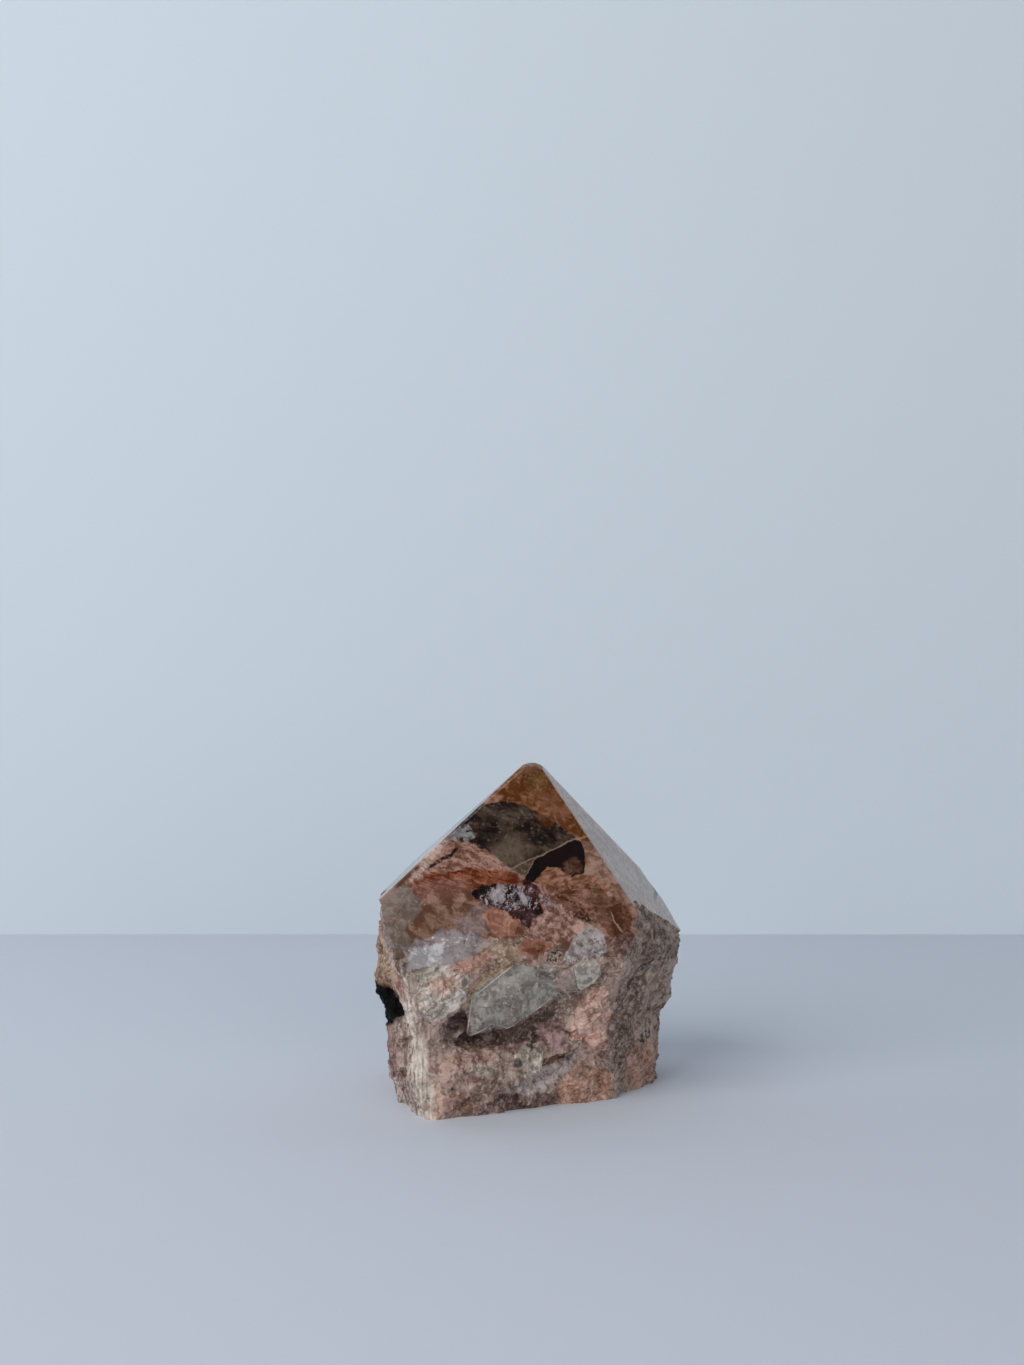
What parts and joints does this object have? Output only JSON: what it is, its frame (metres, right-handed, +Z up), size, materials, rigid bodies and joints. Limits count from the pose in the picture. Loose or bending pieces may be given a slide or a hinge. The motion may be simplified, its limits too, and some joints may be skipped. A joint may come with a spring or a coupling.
{
  "type": "moonstone point",
  "caption": "Upright natural stone, sawn flat underneath, left rough round its sides and ground to a polished pointed top, for display.",
  "frame": {"origin": "middle of the bounding box's bottom, on the flat sawn base", "axes": "+Z up along the stone's height, -Y towards the face with the grey quartz plate, +X to the right of that face"},
  "size_m": [0.0566, 0.0476, 0.0592],
  "materials": {
    "feldspar_and_quartz": "pink and orange feldspar with smoky and grey quartz, polished on the top flats and rough on the sides"
  },
  "bodies": {
    "root": {"moonstone_point": "feldspar_and_quartz"}
  },
  "joints": []
}
